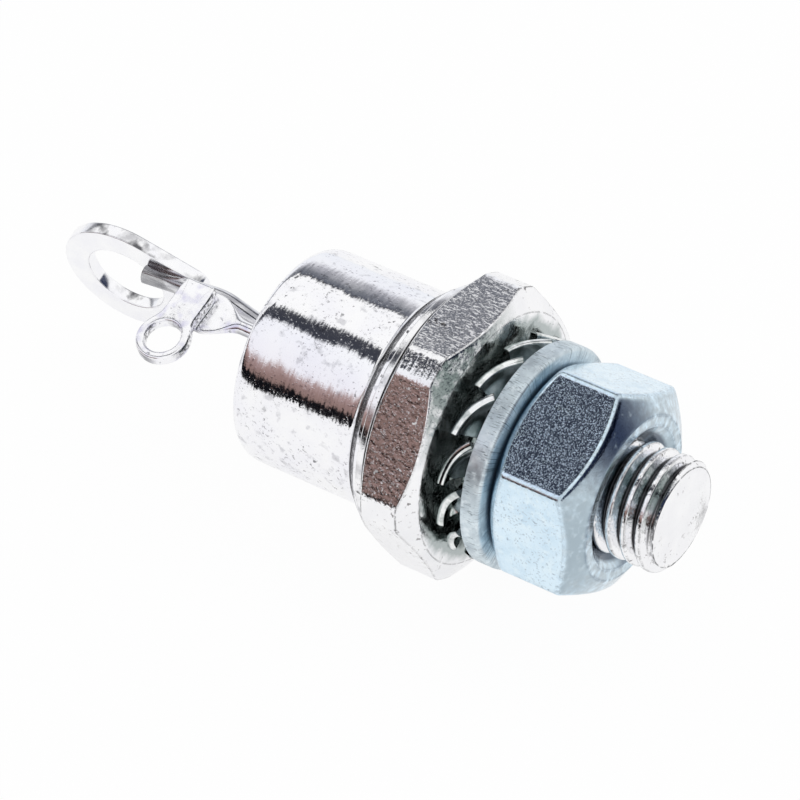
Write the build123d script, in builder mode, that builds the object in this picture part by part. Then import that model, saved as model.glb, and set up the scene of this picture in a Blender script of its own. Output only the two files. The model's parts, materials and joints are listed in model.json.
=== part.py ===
"""A stud-mounted thyristor lying on one flat of its hex base, with its lock washer, flat washer and nut.

Millimetres. X runs along the device axis toward the stud's free end and Z is up.
The origin is on the axis, in the seat face of the hex base, so x < 0 is the can side.
"""
from build123d import *
from math import cos, pi, radians, sin, tan
import os

os.makedirs("parts", exist_ok=True)

# hex base and stud; the flats stand outside the weld ring and the corners are turned round
HEX_SIDES = 6
HEX_LEDGE = 0.25
HEX_TURNED_OVER = 0.75
HEX_T = 3.4
CHAMFER_DEG = 30
SEAT_CHAMFER_W = 1.18
SHOULDER_LAND = 0.05
STUD_R = 3.175
PITCH_R = 2.88
STUD_L = 11.5
STUD_END_CHAMFER = 0.35
NUT_GAP = 0.2
PEDESTAL_R = 4.6
PEDESTAL_H = 1.5

# weld ring and can
RING_R = 7.25
RING_IN_R = 5.3
RING_T = 0.6
CAN_R = 6.08
CAN_WALL = 0.45
CAN_TOP_X = -12.85
FLANGE_INSET = 0.3
FLANGE_T = 0.5
CAN_RIM_FILLET = 0.75
CAN_FOOT_FLARE = 0.35
LIP_R = 4.5
LIP_T = 0.5

# glass seal and its two sleeves; the positions are (y, z) on the seal
GLASS_T = 1.6
CATHODE_YZ = (1.2, -0.62)
GATE_YZ = (-0.75, 0.96)
SLEEVE_IN_X = -9.9
SLEEVE_OUT_X = -14.0
CATHODE_SLEEVE_R = 0.95
GATE_SLEEVE_R = 0.72

# cathode lug: a flat eyelet that leans toward -Y at its far end
LUG_DEG = 105
LUG_LEAN_DEG = 5.2
LUG_T = 0.8
EYE_AT = (-25.56, 1.63, -1.7)
EYE_R = 3.83
EYE_HOLE_R = 2.35
TAIL_AT = (4.5, 1.3)
TAIL_R = 0.8

# cathode lead: straight in the seal, then bent onto the lug; sizes along the lug start at its eye
CATHODE_LEAD_R = 0.53
LEAD_BEND_X = -15.2
LEAD_BEND_R = 4.0
LEAD_ON_LUG = 7.0
LEAD_TIP = 1.95
LEAD_SIDE = 1.82
LEAD_SINK = 0.18

# gate lead: a round pin whose end is coined flat at FLAG_DEG from +Y
GATE_LEAD_R = 0.4
FLAG_DEG = 17.6
PIN_END_X = -15.9
NECK_L = 0.95
FLARE_L = 1.05
BLADE_L = 1.4
BLADE_SHOULDER_W = 1.5
BLADE_W = 2.6
BLADE_T = 0.3

# gate lug: a flat strap on the blade with a small eyelet
STRAP_T = 0.7
STRAP_W = 2.0
STRAP_SETBACK = 0.1
STRAP_BACK = 1.15
STRAP_CORNER_R = 0.5
GATE_EYE_OUT = 2.72
GATE_EYE_R = 1.5
GATE_EYE_HOLE_R = 1.0

# stack on the pedestal, from the copper up
SOLDER_T = 0.06
LOWER_DISC_R = 4.0
LOWER_DISC_T = 0.6
DIE_R = 3.6
DIE_T = 0.3
DIE_BEVEL = 0.15
UPPER_DISC_R = 2.1
UPPER_DISC_T = 0.5
UPPER_DISC_YZ = (0.8, -0.43)
LEAD_FOOT_R = 1.0
LEAD_FOOT_T = 0.5
COATING_W = 0.55
COATING_T = 0.2

# gate wire from the pin down to the die, with its insulating sleeve
WIRE_R = 0.2
WIRE_TOP_X = -9.0
WIRE_SET_X = -8.2
WIRE_DOWN_X = -7.5
GATE_PAD_YZ = (-2.1, 1.2)
WIRE_SLEEVE_R = 0.38
WIRE_SLEEVE_L = 0.65
WIRE_SLEEVE_GAP = 0.15

# lock washer, flat washer and nut on the stud; the nut isn't tightened, so the teeth stand off the seat
TOOTH_COUNT = 14
TOOTH_PHASE_DEG = 101.5
TOOTH_TWIST_DEG = 36
TOOTH_BEND_R = 1.8
TOOTH_LIP_L = 0.45
TOOTH_SLOPE_L = 1.407
TOOTH_ROOT_W = 1.5
TOOTH_T = 0.42
TOOTH_STANDOFF = 0.38
TOOTH_CLEARANCE = 0.02
TOOTH_ROOT_R = 4.5
TOOTH_OUT_R = 6.1
LOCK_IN_R = 3.3
LOCK_RING_R = 4.7
WASHER_T = 1.1
WASHER_R = 6.24
WASHER_IN_R = 3.35
WASHER_EDGE = 0.2
NUT_AF = 11.11
NUT_H = 5.56
NUT_FACE_R = 5.2
NUT_CHAMFER_DEG = 34
NUT_CLEARANCE = 0.025
NUT_SINK_R = 4.0
NUT_SINK_DEG = 34.5
NUT_CORNER_DEG = 88.3


def corner_radius(across_flats):
    """The distance from a hexagon's centre to its corners."""
    return across_flats / 2 / cos(pi / HEX_SIDES)


def at(x, y=0.0, z=0.0):
    """A sketch plane across the axis at x, drawn toward the stud, its local x along Y."""
    return Plane(origin=(x, y, z), x_dir=(0, 1, 0), z_dir=(1, 0, 0))


def along(deg, x, y, z, lean=0.0):
    """A plane through a point; its local y is the direction at deg from +Y and its local x is X.

    With lean, in degrees, local x turns from X away from the plane's front."""
    axis = Vector(1, 0, 0)
    front = Vector(0, -sin(radians(deg)), cos(radians(deg)))
    x_dir = axis * cos(radians(lean)) - front * sin(radians(lean))
    z_dir = front * cos(radians(lean)) + axis * sin(radians(lean))
    return Plane(origin=(x, y, z), x_dir=tuple(x_dir), z_dir=tuple(z_dir))


# a tooth's section: a flat lip near the seat, a bend and a slope up to the flat washer
tooth_turn = radians(TOOTH_TWIST_DEG)
tooth_w = TOOTH_LIP_L + TOOTH_BEND_R * sin(tooth_turn) + TOOTH_SLOPE_L * cos(tooth_turn)
tooth_rise = TOOTH_BEND_R * (1 - cos(tooth_turn)) + TOOTH_SLOPE_L * sin(tooth_turn)

# places along the axis that several pieces share
lip_x = TOOTH_STANDOFF + TOOTH_T / 2
tooth_top_x = lip_x + tooth_rise + TOOTH_T / 2 * cos(tooth_turn)
washer_x = tooth_top_x + TOOTH_CLEARANCE
lock_mid_x = lip_x + tooth_rise / 2
nut_x = washer_x + WASHER_T
nut_end_x = nut_x + NUT_H

# the base and its stud are one turned piece of copper with six milled flats; inside the nut,
# where the threads mesh, the stud has its pitch radius
hex_af = 2 * (RING_R + HEX_LEDGE)
hex_r = corner_radius(hex_af)
turned_r = hex_af / 2 + HEX_TURNED_OVER
seat_r = turned_r - SEAT_CHAMFER_W
slope = tan(radians(CHAMFER_DEG))
seat_drop = SEAT_CHAMFER_W * slope
shoulder_r = RING_R + SHOULDER_LAND
shoulder_drop = (turned_r - shoulder_r) * slope
with BuildPart() as stud_base:
    with BuildSketch(at(-HEX_T)):
        RegularPolygon(radius=hex_r, side_count=HEX_SIDES)
    extrude(amount=HEX_T)
    with BuildSketch(Plane.XY):
        with BuildLine():
            Polyline(
                (-HEX_T, 0), (-HEX_T, shoulder_r), (-HEX_T + shoulder_drop, turned_r),
                (-seat_drop, turned_r), (0, seat_r), (0, 0), close=True,
            )
        make_face()
    revolve(axis=Axis.X, mode=Mode.INTERSECT)
    with BuildSketch(Plane.XY):
        with BuildLine():
            Polyline(
                (-HEX_T - PEDESTAL_H, 0), (-HEX_T - PEDESTAL_H, PEDESTAL_R), (-HEX_T, PEDESTAL_R),
                (-HEX_T, STUD_R), (nut_x - NUT_GAP, STUD_R), (nut_x - NUT_GAP, PITCH_R),
                (nut_end_x + NUT_GAP, PITCH_R), (nut_end_x + NUT_GAP, STUD_R),
                (STUD_L - STUD_END_CHAMFER, STUD_R), (STUD_L, STUD_R - STUD_END_CHAMFER),
                (STUD_L, 0), close=True,
            )
        make_face()
    revolve(axis=Axis.X)
stud_base.part.label = "stud_base"
export_step(stud_base.part, "parts/stud_base.step")

ring_x = -HEX_T - RING_T
with BuildPart() as weld_ring:
    with BuildSketch(at(ring_x)):
        Circle(RING_R)
        Circle(RING_IN_R, mode=Mode.SUBTRACT)
    extrude(amount=RING_T)
weld_ring.part.label = "weld_ring"
export_step(weld_ring.part, "parts/weld_ring.step")

flange_r = RING_R - FLANGE_INSET
flange_top = ring_x - FLANGE_T
with BuildPart() as can_shell:
    with BuildSketch(Plane.XY):
        with BuildLine():
            Polyline(
                (ring_x, CAN_R - CAN_WALL), (ring_x, flange_r), (flange_top, flange_r),
                (flange_top, CAN_R), (CAN_TOP_X, CAN_R), (CAN_TOP_X, LIP_R),
                (CAN_TOP_X + LIP_T, LIP_R), (CAN_TOP_X + LIP_T, CAN_R - CAN_WALL), close=True,
            )
        make_face()
        fillet(vertices().group_by(Axis.X)[0].sort_by(Axis.Y)[-1], CAN_RIM_FILLET)
        foot = vertices().sort_by_distance((flange_top, CAN_R, 0))[0]
        chamfer(foot, CAN_FOOT_FLARE)
    revolve(axis=Axis.X)
can_shell.part.label = "can_shell"
export_step(can_shell.part, "parts/can_shell.step")

glass_out = CAN_TOP_X + LIP_T
with BuildPart() as seal_glass:
    with BuildSketch(at(glass_out)):
        Circle(CAN_R - CAN_WALL)
        with Locations(CATHODE_YZ):
            Circle(CATHODE_SLEEVE_R, mode=Mode.SUBTRACT)
        with Locations(GATE_YZ):
            Circle(GATE_SLEEVE_R, mode=Mode.SUBTRACT)
    extrude(amount=GLASS_T)
seal_glass.part.label = "seal_glass"
export_step(seal_glass.part, "parts/seal_glass.step")

with BuildPart() as cathode_sleeve:
    with BuildSketch(at(SLEEVE_OUT_X)):
        with Locations(CATHODE_YZ):
            Circle(CATHODE_SLEEVE_R)
            Circle(CATHODE_LEAD_R, mode=Mode.SUBTRACT)
    extrude(amount=SLEEVE_IN_X - SLEEVE_OUT_X)
cathode_sleeve.part.label = "cathode_sleeve"
export_step(cathode_sleeve.part, "parts/cathode_sleeve.step")

with BuildPart() as gate_sleeve:
    with BuildSketch(at(SLEEVE_OUT_X)):
        with Locations(GATE_YZ):
            Circle(GATE_SLEEVE_R)
            Circle(GATE_LEAD_R, mode=Mode.SUBTRACT)
    extrude(amount=SLEEVE_IN_X - SLEEVE_OUT_X)
gate_sleeve.part.label = "gate_sleeve"
export_step(gate_sleeve.part, "parts/gate_sleeve.step")

# the die stack stands on the pedestal, inside the can
lower_solder_x = -HEX_T - PEDESTAL_H - SOLDER_T
lower_disc_x = lower_solder_x - LOWER_DISC_T
die_solder_x = lower_disc_x - SOLDER_T
die_x = die_solder_x - DIE_T
upper_disc_x = die_x - UPPER_DISC_T
foot_x = upper_disc_x - LEAD_FOOT_T

with BuildPart() as lower_solder:
    with BuildSketch(at(lower_solder_x)):
        Circle(LOWER_DISC_R)
    extrude(amount=SOLDER_T)
lower_solder.part.label = "lower_solder"
export_step(lower_solder.part, "parts/lower_solder.step")

with BuildPart() as lower_disc:
    with BuildSketch(at(lower_disc_x)):
        Circle(LOWER_DISC_R)
    extrude(amount=LOWER_DISC_T)
lower_disc.part.label = "lower_disc"
export_step(lower_disc.part, "parts/lower_disc.step")

with BuildPart() as die_solder:
    with BuildSketch(at(die_solder_x)):
        Circle(DIE_R)
    extrude(amount=SOLDER_T)
die_solder.part.label = "die_solder"
export_step(die_solder.part, "parts/die_solder.step")

with BuildPart() as silicon_die:
    with BuildSketch(at(die_x)):
        Circle(DIE_R)
    extrude(amount=DIE_T)
    chamfer(silicon_die.edges().group_by(Axis.X)[0], DIE_BEVEL)
silicon_die.part.label = "silicon_die"
export_step(silicon_die.part, "parts/silicon_die.step")

# the cathode contact leaves the gate's corner of the die free
with BuildPart() as upper_disc:
    with BuildSketch(at(upper_disc_x)):
        with Locations(UPPER_DISC_YZ):
            Circle(UPPER_DISC_R)
    extrude(amount=UPPER_DISC_T)
upper_disc.part.label = "upper_disc"
export_step(upper_disc.part, "parts/upper_disc.step")

# a soft bead seals the die's rim and stands on the lower disc
with BuildPart() as die_coating:
    with BuildSketch(Plane.XY):
        with BuildLine():
            Polyline(
                (lower_disc_x, DIE_R), (lower_disc_x, LOWER_DISC_R),
                (die_x - COATING_T, DIE_R - COATING_W / 2), (die_x, DIE_R - COATING_W),
                (die_x, DIE_R - DIE_BEVEL), (die_x + DIE_BEVEL, DIE_R), close=True,
            )
        make_face()
    revolve(axis=Axis.X)
die_coating.part.label = "die_coating"
export_step(die_coating.part, "parts/die_coating.step")

# the cathode lead stands on its contact by a headed foot
lug_plane = along(LUG_DEG, *EYE_AT, lean=LUG_LEAN_DEG)
lead_rise = CATHODE_LEAD_R - LEAD_SINK
with BuildPart() as cathode_lead:
    with BuildLine():
        FilletPolyline(
            (foot_x, *CATHODE_YZ), (LEAD_BEND_X, *CATHODE_YZ),
            lug_plane.from_local_coords((LEAD_ON_LUG, LEAD_SIDE, lead_rise)),
            lug_plane.from_local_coords((LEAD_TIP, LEAD_SIDE, lead_rise)),
            radius=LEAD_BEND_R,
        )
    with BuildSketch(Plane(origin=(foot_x, *CATHODE_YZ), x_dir=(0, 1, 0), z_dir=(-1, 0, 0))):
        Circle(CATHODE_LEAD_R)
    sweep()
    with BuildSketch(at(foot_x)):
        with Locations(CATHODE_YZ):
            Circle(LEAD_FOOT_R)
    extrude(amount=LEAD_FOOT_T)
cathode_lead.part.label = "cathode_lead"
export_step(cathode_lead.part, "parts/cathode_lead.step")

with BuildPart() as cathode_lug:
    with BuildSketch(lug_plane):
        with BuildLine():
            CenterArc((0, 0), EYE_R, 0, 360)
            CenterArc(TAIL_AT, TAIL_R, 0, 360)
        make_hull()
        Circle(EYE_HOLE_R, mode=Mode.SUBTRACT)
    extrude(amount=-LUG_T)
    add(cathode_lead.part, mode=Mode.SUBTRACT)
cathode_lug.part.label = "cathode_lug"
export_step(cathode_lug.part, "parts/cathode_lug.step")

flag_plane = along(FLAG_DEG, 0, *GATE_YZ)
blade_shoulder_x = PIN_END_X - NECK_L
blade_wide_x = blade_shoulder_x - FLARE_L
blade_end_x = blade_wide_x - BLADE_L
blade_section = Plane(
    origin=(blade_shoulder_x, *GATE_YZ), x_dir=tuple(flag_plane.y_dir), z_dir=(-1, 0, 0)
)
with BuildPart() as gate_lead:
    with BuildSketch(at(PIN_END_X)):
        with Locations(GATE_YZ):
            Circle(GATE_LEAD_R)
    extrude(amount=WIRE_TOP_X - PIN_END_X)
    with BuildSketch(blade_section.offset(-NECK_L)):
        Circle(GATE_LEAD_R)
    with BuildSketch(blade_section):
        Rectangle(BLADE_SHOULDER_W, BLADE_T)
    loft()
    with BuildSketch(flag_plane.offset(-BLADE_T / 2)):
        with BuildLine():
            Polyline(
                (blade_shoulder_x, -BLADE_SHOULDER_W / 2), (blade_wide_x, -BLADE_W / 2),
                (blade_end_x, -BLADE_W / 2), (blade_end_x, BLADE_W / 2),
                (blade_wide_x, BLADE_W / 2), (blade_shoulder_x, BLADE_SHOULDER_W / 2),
                close=True,
            )
        make_face()
    extrude(amount=BLADE_T)
gate_lead.part.label = "gate_lead"
export_step(gate_lead.part, "parts/gate_lead.step")

strap_mid_x = blade_wide_x - STRAP_SETBACK - STRAP_W / 2
with BuildPart() as gate_lug:
    with BuildSketch(flag_plane.offset(BLADE_T / 2)):
        with Locations((strap_mid_x, (STRAP_BACK - GATE_EYE_OUT) / 2)):
            Rectangle(STRAP_W, GATE_EYE_OUT + STRAP_BACK)
        fillet(vertices().group_by(Axis.Y)[-1], STRAP_CORNER_R)
        with Locations((strap_mid_x, -GATE_EYE_OUT)):
            Circle(GATE_EYE_R)
            Circle(GATE_EYE_HOLE_R, mode=Mode.SUBTRACT)
    extrude(amount=STRAP_T)
gate_lug.part.label = "gate_lug"
export_step(gate_lug.part, "parts/gate_lug.step")

with BuildPart() as gate_wire:
    with BuildLine():
        Polyline(
            (WIRE_TOP_X, *GATE_YZ), (WIRE_SET_X, *GATE_YZ), (WIRE_DOWN_X, *GATE_PAD_YZ),
            (die_x, *GATE_PAD_YZ),
        )
    with BuildSketch(at(WIRE_TOP_X, *GATE_YZ)):
        Circle(WIRE_R)
    sweep(transition=Transition.RIGHT)
gate_wire.part.label = "gate_wire"
export_step(gate_wire.part, "parts/gate_wire.step")

with BuildPart() as wire_sleeve:
    with BuildSketch(at(WIRE_DOWN_X + WIRE_SLEEVE_GAP)):
        with Locations(GATE_PAD_YZ):
            Circle(WIRE_SLEEVE_R)
            Circle(WIRE_R, mode=Mode.SUBTRACT)
    extrude(amount=WIRE_SLEEVE_L)
wire_sleeve.part.label = "wire_sleeve"
export_step(wire_sleeve.part, "parts/wire_sleeve.step")

# one tooth, drawn on +Y: a bent strip that runs outward, cut to an outline that widens
with BuildPart() as tooth:
    with BuildSketch(Plane(origin=(0, TOOTH_ROOT_R, 0), x_dir=(0, 0, 1), z_dir=(0, 1, 0))):
        with BuildLine():
            lip_end = (tooth_w / 2 - TOOTH_LIP_L, lip_x)
            Line((tooth_w / 2, lip_x), lip_end)
            bend = JernArc(lip_end, (-1, 0), TOOTH_BEND_R, -TOOTH_TWIST_DEG)
            PolarLine(bend @ 1, TOOTH_SLOPE_L, direction=bend % 1)
        trace(line_width=TOOTH_T)
    extrude(amount=TOOTH_OUT_R - TOOTH_ROOT_R)
    with BuildSketch(at(0)):
        with BuildLine():
            Polyline(
                (TOOTH_ROOT_R, -TOOTH_ROOT_W / 2), (TOOTH_OUT_R, -tooth_w / 2),
                (TOOTH_OUT_R, tooth_w / 2), (TOOTH_ROOT_R, TOOTH_ROOT_W / 2), close=True,
            )
        make_face()
    extrude(amount=washer_x, mode=Mode.INTERSECT)

with BuildPart() as lock_washer:
    with BuildSketch(at(lock_mid_x - TOOTH_T / 2)):
        Circle(LOCK_RING_R)
        Circle(LOCK_IN_R, mode=Mode.SUBTRACT)
    extrude(amount=TOOTH_T)
    for i in range(TOOTH_COUNT):
        add(tooth.part.rotate(Axis.X, TOOTH_PHASE_DEG + i * 360 / TOOTH_COUNT))
lock_washer.part.label = "lock_washer"
export_step(lock_washer.part, "parts/lock_washer.step")

with BuildPart() as flat_washer:
    with BuildSketch(at(washer_x)):
        Circle(WASHER_R)
        Circle(WASHER_IN_R, mode=Mode.SUBTRACT)
    extrude(amount=WASHER_T)
    chamfer(flat_washer.edges().group_by(Axis.X)[-1].sort_by(SortBy.RADIUS)[-1], WASHER_EDGE)
flat_washer.part.label = "flat_washer"
export_step(flat_washer.part, "parts/flat_washer.step")

nut_r = corner_radius(NUT_AF)
nut_drop = (nut_r - NUT_FACE_R) * tan(radians(NUT_CHAMFER_DEG))
nut_bore_r = PITCH_R + NUT_CLEARANCE
sink_d = (NUT_SINK_R - nut_bore_r) * tan(radians(NUT_SINK_DEG))
with BuildPart() as hex_nut:
    with BuildSketch(at(nut_x)):
        RegularPolygon(radius=nut_r, side_count=HEX_SIDES, rotation=NUT_CORNER_DEG)
    extrude(amount=NUT_H)
    with BuildSketch(Plane.XY):
        with BuildLine():
            Polyline(
                (nut_x, 0), (nut_x, NUT_FACE_R), (nut_x + nut_drop, nut_r),
                (nut_end_x - nut_drop, nut_r), (nut_end_x, NUT_FACE_R), (nut_end_x, 0),
                close=True,
            )
        make_face()
    revolve(axis=Axis.X, mode=Mode.INTERSECT)
    with BuildSketch(Plane.XY):
        with BuildLine():
            Polyline(
                (nut_x, 0), (nut_x, NUT_SINK_R), (nut_x + sink_d, nut_bore_r),
                (nut_end_x - sink_d, nut_bore_r), (nut_end_x, NUT_SINK_R), (nut_end_x, 0),
                close=True,
            )
        make_face()
    revolve(axis=Axis.X, mode=Mode.SUBTRACT)
hex_nut.part.label = "hex_nut"
export_step(hex_nut.part, "parts/hex_nut.step")
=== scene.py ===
"""Looks for the stud-mounted thyristor: finishes, rounded edges, twisted teeth and thread, sizes in mm."""
import json
import math

import bmesh
import bpy
from mathutils import Matrix, Vector


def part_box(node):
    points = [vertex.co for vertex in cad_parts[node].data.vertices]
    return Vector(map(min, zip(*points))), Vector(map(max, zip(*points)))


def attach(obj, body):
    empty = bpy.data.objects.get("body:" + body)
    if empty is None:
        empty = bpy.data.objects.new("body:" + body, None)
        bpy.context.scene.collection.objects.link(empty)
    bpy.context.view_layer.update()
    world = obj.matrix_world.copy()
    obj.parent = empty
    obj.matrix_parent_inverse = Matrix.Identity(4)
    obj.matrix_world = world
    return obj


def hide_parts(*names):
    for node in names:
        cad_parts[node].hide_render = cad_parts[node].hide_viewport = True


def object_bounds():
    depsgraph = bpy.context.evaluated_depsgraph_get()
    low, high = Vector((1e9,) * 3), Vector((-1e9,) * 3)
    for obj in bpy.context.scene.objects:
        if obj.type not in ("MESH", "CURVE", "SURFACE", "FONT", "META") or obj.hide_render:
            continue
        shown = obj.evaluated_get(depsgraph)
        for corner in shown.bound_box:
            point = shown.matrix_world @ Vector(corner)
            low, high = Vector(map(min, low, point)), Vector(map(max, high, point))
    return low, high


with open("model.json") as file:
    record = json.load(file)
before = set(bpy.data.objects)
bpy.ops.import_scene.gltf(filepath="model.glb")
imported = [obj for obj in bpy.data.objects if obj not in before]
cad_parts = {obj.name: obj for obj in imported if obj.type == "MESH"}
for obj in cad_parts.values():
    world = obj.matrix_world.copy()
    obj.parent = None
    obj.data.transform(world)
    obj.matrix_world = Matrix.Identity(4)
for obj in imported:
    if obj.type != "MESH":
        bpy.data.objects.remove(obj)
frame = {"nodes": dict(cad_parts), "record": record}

CAD_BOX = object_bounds()
MM = 0.001

# meshes: points closer than WELD are one, TINY keeps a divisor off zero, and an edge is sharp from SHARP_DEG
WELD = 0.0005
TINY = 0.001
SHARP_DEG = 35
# steps round a turned piece; names that end in STRETCH are the longest stretch along an outline, and names
# that end in FINE_R the radius beyond which the outline is divided so
ROUND_STEPS = 288
# a stretch of an outline is level when its radius changes by less
LEVEL = 0.01

# camera: aim point, distance, and angles of the photograph's view
AIM = Vector((-4.82, -1.72, 1.66))
DISTANCE = 259.9
AZIMUTH_DEG = 35.81
ELEVATION_DEG = 40.62
ROLL_DEG = -1.882
LENS = 223.56
SENSOR_W = 36.0
CLIP_START = 10.0

# studio cards by their angle round X, from +Y up to +Z: degrees and colour
CARDS = [
    (0, (0.9, 0.92, 0.96)), (24, (0.93, 0.94, 0.97)), (32, (0.5, 0.5, 0.53)),
    (43, (0.19, 0.2, 0.225)), (48, (0.13, 0.14, 0.17)), (51, (0.03, 0.03, 0.04)), (53, (1.0, 1.0, 1.0)),
    (94, (1.0, 1.0, 1.0)), (96, (0.05, 0.052, 0.065)), (109, (0.04, 0.044, 0.06)),
    (112, (0.96, 0.97, 1.0)), (149, (0.9, 0.89, 0.94)), (156, (0.42, 0.3, 0.29)),
    (162, (0.3, 0.2, 0.185)), (168, (0.27, 0.18, 0.16)), (170, (0.006, 0.006, 0.008)),
    (192, (0.006, 0.006, 0.008)), (195, (1.0, 1.0, 1.0)), (300, (1.0, 1.0, 1.0)),
    (340, (0.85, 0.87, 0.9)),
]
# where the cards round X end, along X: from there on all is white
CARDS_END = (0.0, 0.15)
# a dark card ahead of the stud and above its level: colour, and where it begins and is full, along X and up
END_CARD = (0.025, 0.035, 0.075)
END_CARD_AHEAD = (0.74, 0.8)
END_CARD_UP = (0.1, 0.13)

# floor: radius, grey level, and how much of it glows white to the camera and to mirrors
FLOOR_R = 500.0
FLOOR_STEPS = 96
FLOOR_GREY = 0.95
FLOOR_GLOW_SEEN = 0.96
FLOOR_GLOW_MIRRORED = 0.8

# lamp over the device: place, width, and power in watts
LAMP_AT = Vector((120.0, 100.0, 450.0))
LAMP_W = 350.0
LAMP_POWER = 0.25

# thread of the stud, THREAD_PHASE setting where its crests lie along X
PITCH = 0.907
CREST_R = 3.175
THREAD_DEPTH = 0.52
THREAD_STEPS = 128
THREAD_PHASE = 0.35
# half of one turn of the thread, from the crest's middle to the root's: share of the pitch, height
THREAD_HALF = (
    (0.0, 1.0), (0.11, 1.0), (0.145, 0.97), (0.18, 0.87),
    (0.4, 0.14), (0.43, 0.04), (0.465, 0.0), (0.5, 0.0),
)
# its crests inside the nut, their clearance to the nut's sinks, and the chamfer on the stud's end
CREST_IN_NUT_R = 2.88
CREST_CLEARANCE = 0.03
STUD_END_R = 2.85
STUD_END_SLOPE = 0.9

# hex base: planes, flats, the radius its corners are turned to, and both faces inside their chamfers
SEAT_X = 0.0
BACK_X = -3.4
HEX_AF = 15.0
HEX_CORNER_R = 8.25
BACK_FACE_R = 7.3
SEAT_FACE_R = 7.07
SEAT_IN_R = 2.4
HEX_CHAMFER_DEG = 30
HEX_SOFT = 0.1
BACK_EASE = 0.05
HEX_RIM_EASE = 0.03
SEAT_EASE = 0.06
HEX_STEPS = 720
HEX_STRETCH = 0.09
HEX_FINE_R = 7.35
PEDESTAL_X = -4.9
PEDESTAL_R = 4.6
PEDESTAL_IN_R = 0.01

# can: its wall, rim and lip, and the flange on the weld ring
CAN_IN_R = 5.63
CAN_R = 6.08
CAN_TOP_X = -12.85
CAN_RIM_FILLET = 0.75
CAN_STRETCH = 0.6
LIP_R = 4.5
LIP_X = -12.35
LIP_FILLET = 0.12
FLANGE_X = -4.0
FLANGE_TOP_X = -4.25
FLANGE_R = 6.95
FLANGE_EASE = 0.06
FLANGE_TOP_EASE = 0.05
CAN_CUTS = 8
# ridges on its flared foot: the first one's (x, r), the way to the next, and the rise of each
RIDGE_COUNT = 5
RIDGE_AT = (-4.28, 6.82)
RIDGE_STEP = (-0.12, -0.11)
RIDGE_RISE = (-0.04, 0.09)
RIDGE_SOFT = 0.02
FOOT_X = -5.1
FOOT_FILLET = 0.3

# weld ring: bore, its foot on the base, its rim and its face under the flange
RING_IN_R = 5.3
RING_FOOT_R = 7.05
RING_NECK = (-3.47, 7.1)
RING_R = 7.25
RING_RIM_X = (-3.52, -3.9)
RING_RIM_EASE = (0.08, 0.12)
RING_FACE_R = 7.0
RING_NECK_EASE = 0.03
RING_FINE_EASE = 0.02

# flat washer: bore, and how far its edges are eased in the bore, on the nut's side and on the other
WASHER_IN_R = 3.35
WASHER_BORE_EASE = 0.06
WASHER_NUT_EASE = 0.26
WASHER_NEAR_EASE = 0.07

# nut: flats, bore, sinks, chamfers, and its two faces inside their chamfers
NUT_AF = 11.11
NUT_CORNER_DEG = 88.3
NUT_CORNER_R = 6.9
NUT_CORNER_SOFT = 0.3
NUT_ARRIS_SOFT = 0.36
NUT_BORE_R = 2.905
SINK_R = 4.0
SINK_SLOPE = 0.6873
NUT_CHAMFER_DEG = 34
NUT_CHAMFER_R = 5.05
NUT_NEAR_FACE_R = 5.1
NUT_FAR_FACE_R = 4.6
NUT_FAR_DROP = 0.1
NUT_NEAR_EASE = 0.12
NUT_FAR_EASE = 0.1
NUT_BORE_EASE = 0.05
SINK_NEAR_EASE = 0.1
SINK_FAR_EASE = 0.16
NUT_STEPS = 540
NUT_STRETCH = 0.08
NUT_FINE_R = 5.2

# lock washer: its ring, and the teeth that grow out of it
LOCK_IN_R = 3.3
LOCK_RING_R = 4.7
LOCK_IN_EASE = 0.06
LOCK_OUT_EASE = 0.1
LOCK_STEPS = 168
TOOTH_COUNT = 14
TOOTH_PHASE_DEG = 101.5
TOOTH_T = 0.42
TOOTH_ROOT_W = 1.5
TOOTH_ROOT_SINK = 0.25
TOOTH_OUT_R = 6.1
TOOTH_END_W = 2.646
TOOTH_RISE = 1.171
TOOTH_SLOPE_DEG = 50
TOOTH_END_BULGE = 0.09
TOOTH_END_DEG = (0, 25, 50, 75)
# how much sooner a tooth is fully bent than fully wide, and its mesh's steps across and rows along it
TOOTH_BEND_LEAD = 1.4
TOOTH_STEPS = 16
TOOTH_ROWS = 10

# rounded edge of a lug
EDGE_CUTS = 4

# cathode lug: its lie, the eyelet, and the round end of its tail from the eyelet's middle
LUG_DEG = 105
LUG_LEAN_DEG = 5.2
LUG_T = 0.8
LUG_EASE = 0.09
EYE_AT = Vector((-25.56, 1.63, -1.7))
EYE_R = 3.83
EYE_HOLE_R = 2.35
TAIL_AT = Vector((4.5, 1.3))
TAIL_R = 0.8
# how far to both sides its outline looks for the straight line over both circles
HULL_DEG = 80

# gate lug: a strap across the blade, with an eyelet beside it
GATE_DEG = 17.6
GATE_AT = Vector((0.0, -0.75, 0.96))
STRAP_X = -19.0
STRAP_W = 2.0
STRAP_T = 0.7
STRAP_BACK = 1.15
STRAP_CORNER = 1.0
STRAP_EASE = 0.16
GATE_EYE_OUT = 2.72
GATE_EYE_R = 1.5
GATE_EYE_HOLE_R = 1.0
GATE_NECK_SOFT = 0.5
# sine of the angle round the eyelet from which the outline is the strap's
STRAP_FROM = 0.05

# gate lead: its pin and blade, where the coining begins and is full, the eased tip, and how far from these
# its mesh has a further row
PIN_R = 0.4
BLADE_W = 2.6
BLADE_T = 0.3
COIN_FROM_X = -15.7
COIN_TO_X = -17.9
COIN_ROWS = 24
PIN_ROW = 0.4
BLADE_ROW = 0.3
TIP_L = 0.06
TIP_ROW = 0.02
TIP_EASE = 0.05
# how much sooner the blade is flat than wide, and how square its section is
BLADE_FLAT_LEAD = 1.6
BLADE_SQUARE = 0.7
PIN_STEPS = 64

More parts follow.
